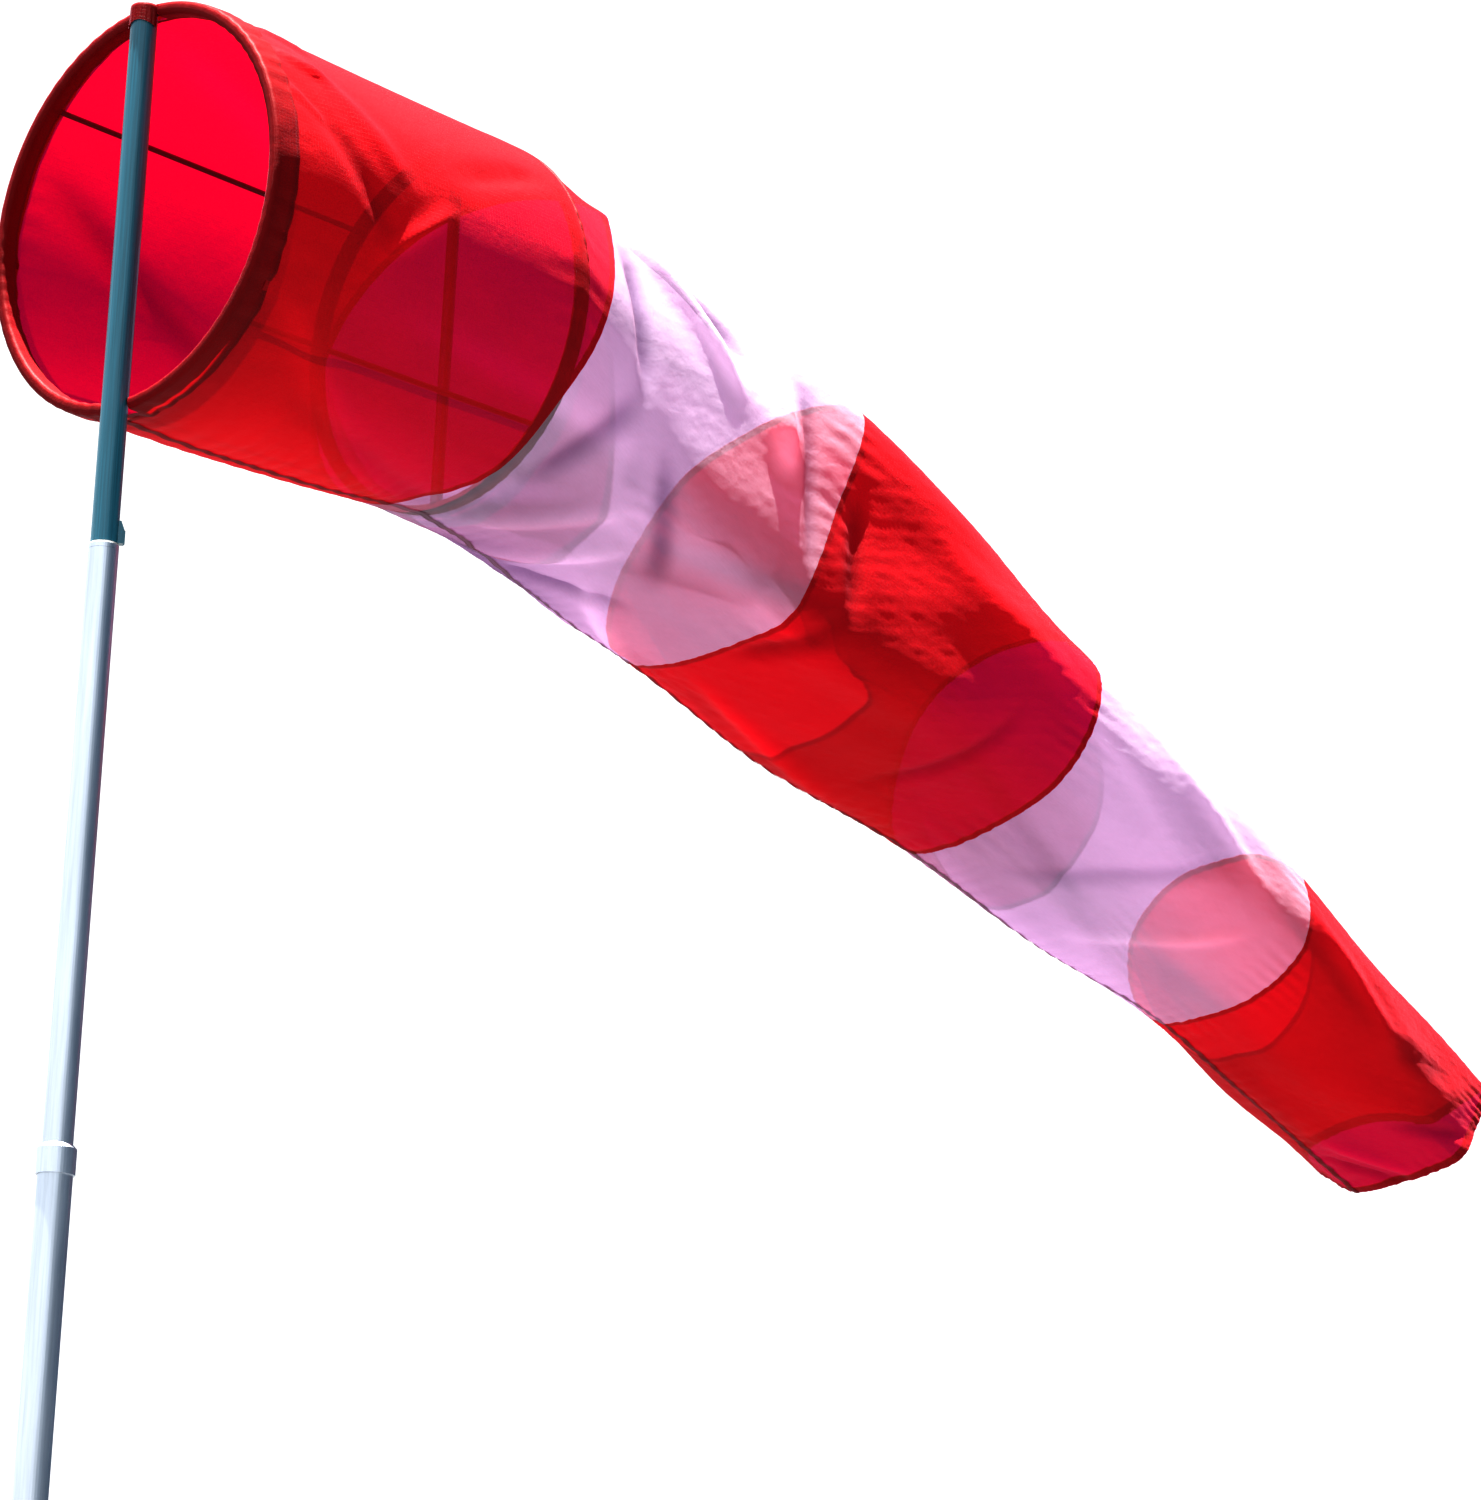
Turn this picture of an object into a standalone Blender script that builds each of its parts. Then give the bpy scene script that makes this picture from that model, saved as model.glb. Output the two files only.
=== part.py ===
"""Windsock on a two-piece tubular mast.

The origin is the centre of the mast's foot. +Z runs up the mast, +X is downwind, and the sock
hangs a little below +X as it does in a moderate wind. Lengths are metres, angles are degrees.
"""

import math

import bmesh
import bpy
from mathutils import Matrix, Vector

# Gaps between pieces that touch or fit into each other.
SEAT_GAP = 0.0003
HOLE_GAP = 0.0004

# Mast.
LOWER_TUBE_DIAMETER = 0.048
UPPER_TUBE_DIAMETER = 0.042
MAST_WALL = 0.0025
MAST_TOP_Z = 3.850
UPPER_TUBE_LENGTH = 0.872
SOCKET_DEPTH = 0.036
SOCKET_SHOULDER = 0.006
FOOT_FLANGE = 0.004
FOOT_SPIGOT_DEPTH = 0.030

# Swivel.
HEAD_FLANGE = 0.006
HEAD_SPIGOT_DEPTH = 0.045
SPINDLE_DIAMETER = 0.025
SPINDLE_RISE = 0.148
GROOVE_WIDTH = 0.0095
GROOVE_DEPTH = 0.0025
THRUST_WASHER = 0.003
SWIVEL_DIAMETER = 0.038
SWIVEL_WALL = 0.002
BUSH_LENGTH = 0.030
LOWER_BUSH_RISE = 0.036
UPPER_BUSH_DROP = 0.036

# Lug and screw that keep the swivel tube on the spindle.
LUG_ANGLE = -40
LUG_HEIGHT = 0.032
LUG_WIDTH = 0.014
LUG_REACH = 0.009
RETAINER_DIAMETER = 0.008
RETAINER_RISE = 0.016
HEX_SOCKET_DEPTH = 0.004
HEX_SOCKET_WIDTH = 0.004

# Cage inside the mouth of the sock.
HOOP_RISE = 0.500
HOOP_X = 0.010
HOOP_RADIUS = 0.288
HOOP_WIRE = 0.010
CAGE_LENGTH = 0.602
REAR_HOOP_RADIUS = 0.275
REAR_HOOP_DROP = 0.010
ROD_DIAMETER = 0.008
ROD_ANGLE = 43
STRUT_DIAMETER = 0.018
SWIVEL_TOP_MARGIN = 0.0035
HOOP_SCREW_DIAMETER = 0.005
HOOP_SCREW_HEAD_DIAMETER = 0.009
HOOP_SCREW_HEAD_HEIGHT = 0.003

# Fabric.
CLOTH = 0.0015
HEM_EASE = 0.0055
HEM_DEPTH = 0.043
HEM_INNER_DEPTH = 0.026
TAIL_HEM_DEPTH = 0.020
TAIL_HEM_CLOTH = 0.003
BAND_LENGTH = 0.615
FIRST_SEAM_SETBACK = 0.012
# For each seam from the rear of band 2 to the tail: how steeply the band before it runs down,
# the tilt of the seam's plane, the radius of a circle as long round as the seam, the width of
# the slack section over its height, and how far the section sways sideways.
BAND_SLOPES = (15.8, 18.6, 18.7, 24.6)
SEAM_TILTS = (27, 23, 17, 45)
SEAM_RADII = (0.255, 0.215, 0.180, 0.165)
SEAM_FLATNESS = (0.88, 1.12, 1.30, 2.20)
SEAM_SWAY = (-0.025, -0.010, 0.015, 0.005)
BAND_COLOURS = ("red", "white", "red", "white", "red")
# A droop hinge's height above the centre of its seam, over the seam's half height.
PIVOT_SHARE = 0.8

# Facets.
TUBE_SIDES = 40
WIRE_SIDES = 10
HOOP_SIDES = 40
CLOTH_SIDES = 40
RINGS_PER_BAND = 3

SOCKET_RIM_Z = MAST_TOP_Z - UPPER_TUBE_LENGTH
SPINDLE_TOP_Z = MAST_TOP_Z + SPINDLE_RISE
HOOP_Z = MAST_TOP_Z + HOOP_RISE
SWIVEL_BOTTOM_Z = MAST_TOP_Z + HEAD_FLANGE + THRUST_WASHER + 3 * SEAT_GAP
SWIVEL_TOP_Z = HOOP_Z + HOOP_RADIUS + HOOP_WIRE / 2 + SWIVEL_TOP_MARGIN
SWIVEL_BORE = SWIVEL_DIAMETER / 2 - SWIVEL_WALL
SPINDLE_RADIUS = SPINDLE_DIAMETER / 2
REAR_HOOP_X = HOOP_X + CAGE_LENGTH
REAR_HOOP_Z = HOOP_Z - REAR_HOOP_DROP
MOUTH_RADIUS = HOOP_RADIUS + HOOP_WIRE / 2 + HEM_EASE + CLOTH
HEM_FRONT_X = HOOP_X - HOOP_WIRE / 2 - SEAT_GAP - CLOTH
RETAINER_Z = SWIVEL_BOTTOM_Z + RETAINER_RISE


def clear_scene():
    for old in list(bpy.data.objects):
        bpy.data.objects.remove(old)


def make_material(name, colour, roughness, metallic=0.0):
    material = bpy.data.materials.new(name)
    material.use_nodes = True
    shader = material.node_tree.nodes["Principled BSDF"]
    shader.inputs["Base Color"].default_value = (*colour, 1)
    shader.inputs["Roughness"].default_value = roughness
    shader.inputs["Metallic"].default_value = metallic
    return material


def add_object(name, bm, material, parent=None):
    bmesh.ops.recalc_face_normals(bm, faces=bm.faces)
    if bm.calc_volume(signed=True) < 0:
        bmesh.ops.reverse_faces(bm, faces=bm.faces)
    mesh = bpy.data.meshes.new(name)
    bm.to_mesh(mesh)
    bm.free()
    mesh.shade_smooth()
    mesh.set_sharp_from_angle(angle=math.radians(35))
    if material:
        mesh.materials.append(material)
    made = bpy.data.objects.new(name, mesh)
    bpy.context.scene.collection.objects.link(made)
    made.parent = parent
    if parent:
        made.matrix_parent_inverse = parent.matrix_world.inverted()
    return made


def add_axis(name, place, parent=None):
    empty = bpy.data.objects.new(name, None)
    bpy.context.scene.collection.objects.link(empty)
    empty.location = place
    bpy.context.view_layer.update()
    if parent:
        empty.parent = parent
        empty.matrix_parent_inverse = parent.matrix_world.inverted()
        bpy.context.view_layer.update()
    return empty


def lathe(profile, sides=TUBE_SIDES):
    """A closed profile of (radius, height) points turned about Z. Points on the axis make poles."""
    bm = bmesh.new()
    rings = []
    for radius, height in profile:
        if radius == 0:
            rings.append([bm.verts.new((0, 0, height))])
            continue
        rings.append([bm.verts.new((radius * math.cos(math.tau * i / sides),
                                    radius * math.sin(math.tau * i / sides), height))
                      for i in range(sides)])
    closed = profile[0][0] > 0 or profile[-1][0] > 0
    pairs = list(zip(rings, rings[1:] + rings[:1])) if closed else list(zip(rings, rings[1:]))
    for lower, upper in pairs:
        for i in range(sides):
            j = (i + 1) % sides
            corners = [lower[i % len(lower)], lower[j % len(lower)],
                       upper[j % len(upper)], upper[i % len(upper)]]
            bm.faces.new(list(dict.fromkeys(corners)))
    return bm


def tube(outer, inner, bottom, top, sides=TUBE_SIDES):
    return lathe([(outer, bottom), (outer, top), (inner, top), (inner, bottom)], sides)


def rod(start, end, diameter, sides=TUBE_SIDES):
    """A solid round bar between two points."""
    start, end = Vector(start), Vector(end)
    bm = bmesh.new()
    bmesh.ops.create_cone(bm, cap_ends=True, segments=sides, radius1=diameter / 2,
                          radius2=diameter / 2, depth=(end - start).length)
    turn = (end - start).to_track_quat("Z", "Y").to_matrix().to_4x4()
    bm.transform(Matrix.Translation((start + end) / 2) @ turn)
    return bm


def hoop(x, z, radius, wire, sides=HOOP_SIDES, wire_sides=WIRE_SIDES):
    """A round wire hoop standing across the wind."""
    bm = bmesh.new()
    rings = []
    for i in range(sides):
        angle = math.tau * i / sides
        ring = []
        for k in range(wire_sides):
            turn = math.tau * k / wire_sides
            out = radius + wire / 2 * math.cos(turn)
            ring.append(bm.verts.new((x + wire / 2 * math.sin(turn),
                                      out * math.cos(angle), z + out * math.sin(angle))))
        rings.append(ring)
    join_rings(bm, rings, closed=True)
    return bm


def join_rings(bm, rings, closed=False):
    following = rings[1:] + rings[:1] if closed else rings[1:]
    for first, second in zip(rings, following):
        for k in range(len(first)):
            m = (k + 1) % len(first)
            bm.faces.new((first[k], first[m], second[m], second[k]))


def cut(target, bm):
    """Takes the shape bm out of the target and leaves the cutter as a hidden guide."""
    cutter = add_object("cutter_" + target.name, bm, None)
    cutter.hide_render = True
    cutter.display_type = "WIRE"
    modifier = target.modifiers.new("cut_" + str(len(target.modifiers)), "BOOLEAN")
    modifier.operation = "DIFFERENCE"
    modifier.object = cutter


# ---------------------------------------------------------------- mast

def make_mast(aluminium, steel, plastic):
    lower = LOWER_TUBE_DIAMETER / 2
    upper = UPPER_TUBE_DIAMETER / 2
    tube_bottom = FOOT_FLANGE + SEAT_GAP
    socket_top = SOCKET_RIM_Z + SOCKET_DEPTH
    socket_bore = lower + HOLE_GAP
    socket_outer = socket_bore + MAST_WALL
    shoulder_top = socket_top + SOCKET_SHOULDER

    add_object("mast_foot_plug", lathe([
        (0, 0), (lower, 0), (lower, FOOT_FLANGE),
        (lower - MAST_WALL - HOLE_GAP, FOOT_FLANGE),
        (lower - MAST_WALL - HOLE_GAP, FOOT_FLANGE + FOOT_SPIGOT_DEPTH),
        (0, FOOT_FLANGE + FOOT_SPIGOT_DEPTH)]), plastic)
    add_object("mast_lower_tube",
               tube(lower, lower - MAST_WALL, tube_bottom, socket_top - SEAT_GAP), aluminium)
    add_object("mast_upper_tube", lathe([
        (socket_outer, SOCKET_RIM_Z), (socket_outer, socket_top),
        (upper, shoulder_top), (upper, MAST_TOP_Z),
        (upper - MAST_WALL, MAST_TOP_Z), (upper - MAST_WALL, socket_top + HOLE_GAP),
        (socket_bore, socket_top), (socket_bore, SOCKET_RIM_Z)]), aluminium)
    make_swivel_head(upper, aluminium, steel)


def make_swivel_head(upper, aluminium, steel):
    """The plug in the mast's top and the grooved spindle that stands in it."""
    flange_bottom = MAST_TOP_Z + SEAT_GAP
    flange_top = flange_bottom + HEAD_FLANGE
    spigot = upper - MAST_WALL - HOLE_GAP
    bore = SPINDLE_RADIUS + HOLE_GAP
    floor = MAST_TOP_Z - HEAD_SPIGOT_DEPTH
    add_object("mast_head_plug", lathe([
        (0, floor), (spigot, floor), (spigot, flange_bottom), (upper, flange_bottom),
        (upper, flange_top), (bore, flange_top), (bore, floor + HEAD_FLANGE),
        (0, floor + HEAD_FLANGE)]), aluminium)
    neck = SPINDLE_RADIUS - GROOVE_DEPTH
    add_object("spindle", lathe([
        (0, floor + HEAD_FLANGE + SEAT_GAP), (SPINDLE_RADIUS, floor + HEAD_FLANGE + SEAT_GAP),
        (SPINDLE_RADIUS, RETAINER_Z - GROOVE_WIDTH / 2), (neck, RETAINER_Z - GROOVE_WIDTH / 2),
        (neck, RETAINER_Z + GROOVE_WIDTH / 2), (SPINDLE_RADIUS, RETAINER_Z + GROOVE_WIDTH / 2),
        (SPINDLE_RADIUS, SPINDLE_TOP_Z - MAST_WALL), (neck, SPINDLE_TOP_Z),
        (0, SPINDLE_TOP_Z)]), steel)


# ---------------------------------------------------------------- swivel tube

def make_swivel(axis, paint, steel, nylon):
    washer_bottom = MAST_TOP_Z + HEAD_FLANGE + 2 * SEAT_GAP
    bore = SPINDLE_RADIUS + HOLE_GAP
    add_object("thrust_washer", tube(SWIVEL_DIAMETER / 2, bore, washer_bottom,
                                     washer_bottom + THRUST_WASHER), nylon, axis)
    lower_bush_z = SWIVEL_BOTTOM_Z + LOWER_BUSH_RISE
    upper_bush_z = SPINDLE_TOP_Z - UPPER_BUSH_DROP
    for name, bottom in (("lower_bush", lower_bush_z), ("upper_bush", upper_bush_z)):
        add_object(name, tube(SWIVEL_BORE - SEAT_GAP, bore, bottom, bottom + BUSH_LENGTH),
                   nylon, axis)
    swivel = add_object("swivel_tube", tube(SWIVEL_DIAMETER / 2, SWIVEL_BORE,
                                            SWIVEL_BOTTOM_Z, SWIVEL_TOP_Z), paint, axis)
    cut(swivel, hoop(HOOP_X, HOOP_Z, HOOP_RADIUS, HOOP_WIRE + 2 * HOLE_GAP))
    cut(swivel, radial_rod(SPINDLE_RADIUS, SWIVEL_DIAMETER, RETAINER_Z, LUG_ANGLE,
                           RETAINER_DIAMETER + 2 * HOLE_GAP))
    make_retainer(axis, paint, steel)
    for name, z in (("hoop_screw_top", HOOP_Z + HOOP_RADIUS),
                    ("hoop_screw_bottom", HOOP_Z - HOOP_RADIUS)):
        cut(swivel, radial_rod(SWIVEL_BORE / 2, SWIVEL_DIAMETER, z, 0,
                               HOOP_SCREW_DIAMETER + 2 * HOLE_GAP))
        make_hoop_screw(name, z, axis, steel)


def radial_rod(inner, outer, z, angle, diameter, sides=16):
    turn = math.radians(angle)
    out = Vector((math.cos(turn), math.sin(turn), 0))
    lift = Vector((0, 0, z))
    return rod(out * inner + lift, out * outer + lift, diameter, sides)


def make_retainer(axis, paint, steel):
    """A welded lug with the set screw whose tip runs in the spindle's groove."""
    saddle = SWIVEL_DIAMETER / 2 + SEAT_GAP
    outer = SWIVEL_DIAMETER / 2 + LUG_REACH
    bm = bmesh.new()
    chamfer = LUG_REACH / 4
    outline = [(SWIVEL_BORE, 0), (outer - chamfer, 0), (outer, chamfer),
               (outer, LUG_HEIGHT / 2), (saddle + chamfer, LUG_HEIGHT),
               (SWIVEL_BORE, LUG_HEIGHT)]
    sides = []
    for y in (-LUG_WIDTH / 2, LUG_WIDTH / 2):
        sides.append([bm.verts.new((x, y, SWIVEL_BOTTOM_Z + z)) for x, z in outline])
    join_rings(bm, sides)
    for side in sides:
        bm.faces.new(side)
    bm.transform(Matrix.Rotation(math.radians(LUG_ANGLE), 4, "Z"))
    lug = add_object("retainer_lug", bm, paint, axis)
    below, above = SWIVEL_BOTTOM_Z - LUG_HEIGHT, SWIVEL_BOTTOM_Z + 2 * LUG_HEIGHT
    cut(lug, lathe([(0, below), (saddle, below), (saddle, above), (0, above)]))
    cut(lug, radial_rod(SWIVEL_BORE, SWIVEL_DIAMETER, RETAINER_Z, LUG_ANGLE,
                        RETAINER_DIAMETER + 2 * HOLE_GAP))
    tip = SPINDLE_RADIUS - GROOVE_DEPTH + HOLE_GAP
    screw = add_object("retainer_screw", radial_rod(tip, outer, RETAINER_Z, LUG_ANGLE,
                                                    RETAINER_DIAMETER), steel, axis)
    cut(screw, radial_rod(outer - HEX_SOCKET_DEPTH, outer * 2, RETAINER_Z, LUG_ANGLE,
                          HEX_SOCKET_WIDTH, 6))


def make_hoop_screw(name, z, axis, steel):
    """A screw from the tube's downwind side whose tip bears on the hoop."""
    tip = HOOP_X + HOOP_WIRE / 2 + SEAT_GAP
    seat = SWIVEL_DIAMETER / 2 + SEAT_GAP
    shank, head = HOOP_SCREW_DIAMETER / 2, HOOP_SCREW_HEAD_DIAMETER / 2
    bm = lathe([(0, tip), (shank, tip), (shank, seat), (head, seat),
                (head, seat + HOOP_SCREW_HEAD_HEIGHT / 2),
                (head * 0.7, seat + HOOP_SCREW_HEAD_HEIGHT),
                (0, seat + HOOP_SCREW_HEAD_HEIGHT)], 16)
    bm.transform(Matrix.Translation((0, 0, z)) @ Matrix.Rotation(math.pi / 2, 4, "Y"))
    add_object(name, bm, steel, axis)


# ---------------------------------------------------------------- cage

def make_cage(axis, steel):
    add_object("front_hoop", hoop(HOOP_X, HOOP_Z, HOOP_RADIUS, HOOP_WIRE), steel, axis)
    add_object("rear_hoop", hoop(REAR_HOOP_X, REAR_HOOP_Z, REAR_HOOP_RADIUS, HOOP_WIRE),
               steel, axis)
    front_x = HOOP_X + HOOP_WIRE / 2 + SEAT_GAP
    rear_x = REAR_HOOP_X - HOOP_WIRE / 2 - SEAT_GAP
    for name, angle in (("far_side_rod", ROD_ANGLE), ("near_side_rod", ROD_ANGLE + 180)):
        turn = math.radians(angle)
        start = (front_x, HOOP_RADIUS * math.cos(turn), HOOP_Z + HOOP_RADIUS * math.sin(turn))
        end = (rear_x, REAR_HOOP_RADIUS * math.cos(turn),
               REAR_HOOP_Z + REAR_HOOP_RADIUS * math.sin(turn))
        add_object(name, rod(start, end, ROD_DIAMETER, 12), steel, axis)
    inner = REAR_HOOP_RADIUS - HOOP_WIRE / 2
    # The strut's square end stays clear of the hoop, which falls away to either side of it.
    reach = inner - STRUT_DIAMETER / 2 * math.tan(math.pi / HOOP_SIDES) - SEAT_GAP
    add_object("rear_hoop_strut", rod((REAR_HOOP_X, 0, REAR_HOOP_Z - reach),
                                      (REAR_HOOP_X, 0, REAR_HOOP_Z + reach),
                                      STRUT_DIAMETER, 16), steel, axis)


# ---------------------------------------------------------------- fabric

class Section:
    """An oval cross-section of the sock: its centre, tilt, half width and half height."""

    def __init__(self, centre, tilt, radius, flatness):
        self.centre = Vector(centre)
        self.tilt = tilt
        self.wide = radius * math.sqrt(2) * flatness / math.sqrt(1 + flatness ** 2)
        self.tall = self.wide / flatness

    def point(self, angle, inset=0.0):
        lean = math.radians(self.tilt)
        rise = (self.tall - inset) * math.sin(angle)
        return self.centre + Vector((rise * math.sin(lean), (self.wide - inset) * math.cos(angle),
                                     rise * math.cos(lean)))

    def blend(self, other, share):
        mixed = Section(self.centre.lerp(other.centre, share),
                        self.tilt + (other.tilt - self.tilt) * share, 1, 1)
        mixed.wide = self.wide + (other.wide - self.wide) * share
        mixed.tall = self.tall + (other.tall - self.tall) * share
        return mixed

    def ahead(self, distance):
        """The same section moved along its own normal."""
        lean = math.radians(self.tilt)
        moved = self.blend(self, 0)
        moved.centre = self.centre + distance * Vector((math.cos(lean), 0, -math.sin(lean)))
        return moved


def seam_sections():
    """The sections at the five seams: the first over the rear hoop, the last at the tail."""
    centre = Vector((REAR_HOOP_X + FIRST_SEAM_SETBACK, 0, REAR_HOOP_Z))
    over_hoop = REAR_HOOP_RADIUS + HOOP_WIRE / 2 + 2 * SEAT_GAP + CLOTH
    found = [Section(centre, 0, over_hoop, 1)]
    for slope, tilt, radius, flatness, sway in zip(
            BAND_SLOPES, SEAM_TILTS, SEAM_RADII, SEAM_FLATNESS, SEAM_SWAY):
        down = math.radians(slope)
        centre = centre + BAND_LENGTH * Vector((math.cos(down), 0, -math.sin(down)))
        found.append(Section((centre.x, sway, centre.z), tilt, radius, flatness))
    return found


def cloth_shell(sections, thickness, sides=CLOTH_SIDES):
    """A sleeve of cloth through the sections, open at both ends."""
    bm = bmesh.new()
    rings = []
    for inset, order in ((0.0, sections), (thickness, sections[::-1])):
        for section in order:
            rings.append([bm.verts.new(section.point(math.tau * i / sides, inset))
                          for i in range(sides)])
    join_rings(bm, rings, closed=True)
    return bm


def make_mouth_hem(axis, cloth):
    """The hem turned in round the front hoop, open to the rear, and notched for the tube."""
    front, outer = HEM_FRONT_X, MOUTH_RADIUS
    inner = HOOP_RADIUS - HOOP_WIRE / 2 - SEAT_GAP - CLOTH
    inner_end, end = front + HEM_INNER_DEPTH, front + HEM_DEPTH
    bevel = 2 * CLOTH
    profile = [(outer, end), (outer, front + bevel), (outer - bevel, front),
               (inner + bevel, front), (inner, front + bevel), (inner, inner_end),
               (inner + CLOTH, inner_end), (inner + CLOTH, front + bevel),
               (inner + bevel, front + CLOTH), (outer - bevel, front + CLOTH),
               (outer - CLOTH, front + bevel), (outer - CLOTH, end)]
    bm = lathe(profile[::-1], CLOTH_SIDES)
    bm.transform(Matrix.Translation((0, 0, HOOP_Z)) @ Matrix.Rotation(math.pi / 2, 4, "Y"))
    hem = add_object("mouth_hem", bm, cloth, axis)
    clear = SWIVEL_DIAMETER / 2 + 2 * SEAT_GAP
    cut(hem, lathe([(0, HOOP_Z - 2 * MOUTH_RADIUS), (clear, HOOP_Z - 2 * MOUTH_RADIUS),
                    (clear, SWIVEL_TOP_Z + 2 * SEAT_GAP), (0, SWIVEL_TOP_Z + 2 * SEAT_GAP)]))


def make_bands(axes, cloths):
    seams = seam_sections()
    mouth = Section((HEM_FRONT_X + HEM_DEPTH + SEAT_GAP, 0, HOOP_Z), 0, MOUTH_RADIUS, 1)
    starts = [mouth] + [seam.ahead(SEAT_GAP) for seam in seams[:-1]]
    ends = [seam.ahead(-SEAT_GAP) for seam in seams[:-1]]
    ends.append(seams[-1].ahead(-TAIL_HEM_DEPTH - SEAT_GAP))
    spans = zip(axes, BAND_COLOURS, starts, ends)
    for number, (axis, colour, start, end) in enumerate(spans, 1):
        sections = [start.blend(end, k / RINGS_PER_BAND) for k in range(RINGS_PER_BAND + 1)]
        add_object(f"band_{number}_{colour}", cloth_shell(sections, CLOTH), cloths[colour],
                   axis)
    tail = seams[-1]
    add_object("tail_hem", cloth_shell([tail.ahead(-TAIL_HEM_DEPTH), tail], TAIL_HEM_CLOTH),
               cloths["red"], axes[-1])


# ---------------------------------------------------------------- whole object

def pivot(section):
    """A droop hinge lies near the top of its seam, where the stretched cloth bends."""
    lean = math.radians(section.tilt)
    return section.centre + PIVOT_SHARE * section.tall * Vector((math.sin(lean), 0,
                                                                 math.cos(lean)))


def make_windsock():
    aluminium = make_material("aluminium", (0.62, 0.64, 0.67), 0.35, 1.0)
    steel = make_material("steel", (0.36, 0.35, 0.34), 0.4, 1.0)
    plastic = make_material("black_plastic", (0.03, 0.03, 0.03), 0.5)
    nylon = make_material("white_nylon", (0.75, 0.74, 0.70), 0.45)
    paint = make_material("teal_paint", (0.03, 0.21, 0.33), 0.3)
    cloths = {"red": make_material("red_cloth", (0.62, 0.005, 0.012), 0.6),
              "white": make_material("white_cloth", (0.72, 0.66, 0.74), 0.6)}
    make_mast(aluminium, steel, plastic)
    swivel_axis = add_axis("swivel_axis", (0, 0, SWIVEL_BOTTOM_Z))
    make_swivel(swivel_axis, paint, steel, nylon)
    make_cage(swivel_axis, steel)
    make_mouth_hem(swivel_axis, cloths["red"])
    hoop_top = Section((REAR_HOOP_X, 0, REAR_HOOP_Z), 0, REAR_HOOP_RADIUS, 1)
    axes = [swivel_axis]
    for number, section in enumerate([hoop_top] + seam_sections()[1:4], 2):
        place = pivot(section)
        axes.append(add_axis(f"droop_axis_{number}", (place.x, 0, place.z), axes[-1]))
    make_bands(axes, cloths)


clear_scene()
make_windsock()
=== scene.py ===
import math

import bpy
import numpy as np
from mathutils import Matrix, Vector


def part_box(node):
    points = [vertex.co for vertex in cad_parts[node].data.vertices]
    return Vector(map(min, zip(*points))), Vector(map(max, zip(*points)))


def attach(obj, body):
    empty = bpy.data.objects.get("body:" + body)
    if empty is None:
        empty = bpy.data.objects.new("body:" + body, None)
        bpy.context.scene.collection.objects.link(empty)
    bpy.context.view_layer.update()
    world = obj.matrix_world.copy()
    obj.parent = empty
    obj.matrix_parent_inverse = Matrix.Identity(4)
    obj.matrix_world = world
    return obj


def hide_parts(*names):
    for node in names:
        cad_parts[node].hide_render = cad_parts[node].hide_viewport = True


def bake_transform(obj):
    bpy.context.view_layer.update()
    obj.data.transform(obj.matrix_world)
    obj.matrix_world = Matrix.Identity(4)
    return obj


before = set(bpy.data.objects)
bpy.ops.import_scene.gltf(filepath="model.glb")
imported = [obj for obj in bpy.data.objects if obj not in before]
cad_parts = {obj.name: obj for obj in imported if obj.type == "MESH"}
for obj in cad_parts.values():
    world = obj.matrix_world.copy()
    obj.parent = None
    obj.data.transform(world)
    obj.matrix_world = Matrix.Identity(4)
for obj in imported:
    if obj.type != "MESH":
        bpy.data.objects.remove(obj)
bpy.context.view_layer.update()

# The looks of a windsock: its thin cloth, its metals, the light and the camera.
#
# Lengths are metres and angles are degrees. +X is downwind and +Z is up. A place on the sock is
# (around, along). Around runs from 0 at the lengthwise seam underneath, over the far side, the
# top (0.5) and the near side, back to 1 at the seam. Along is 0 at the mouth, 1 at the rear hoop,
# then 2, 3 and 4 at the next seams and 5 at the tail.


def box_middle(node):
    low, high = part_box(node)
    return np.array((low + high) / 2)


def box_size(node):
    low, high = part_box(node)
    return np.array(high - low)


HOOP_CENTRE = box_middle("front_hoop")
HOOP_OUTSIDE = box_size("front_hoop")[2] / 2
HOOP_WIRE = box_size("front_hoop")[0]
REAR_CENTRE = box_middle("rear_hoop")
REAR_OUTSIDE = box_size("rear_hoop")[2] / 2
TUBE_RADIUS = box_size("swivel_tube")[1] / 2
TUBE_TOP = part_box("swivel_tube")[1].z
MOUTH_RADIUS = box_size("mouth_hem")[2] / 2
HEM_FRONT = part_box("mouth_hem")[0].x
LEVEL = HOOP_CENTRE[2]

# ---------------------------------------------------------------- shape of the sock

COLUMNS = 288
ROWS = 84
AROUND = np.arange(COLUMNS) / COLUMNS
BAND_LENGTH = 0.615
# The cut cloth's width round the sock at the mouth, at each seam and at the tail.
CLOTH_GIRTH = (1.885, 1.78, 1.60, 1.30, 1.10, 1.05)
MEAN_GIRTH = 1.4
# Between two layers that lie on each other.
CLOTH_GAP = 0.0012
# Angles round a hoop start at +Y and go up. The lengthwise seam is a little off the bottom.
SEAM_ANGLE = -85
ROD_ANGLES = (43, 223)

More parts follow.
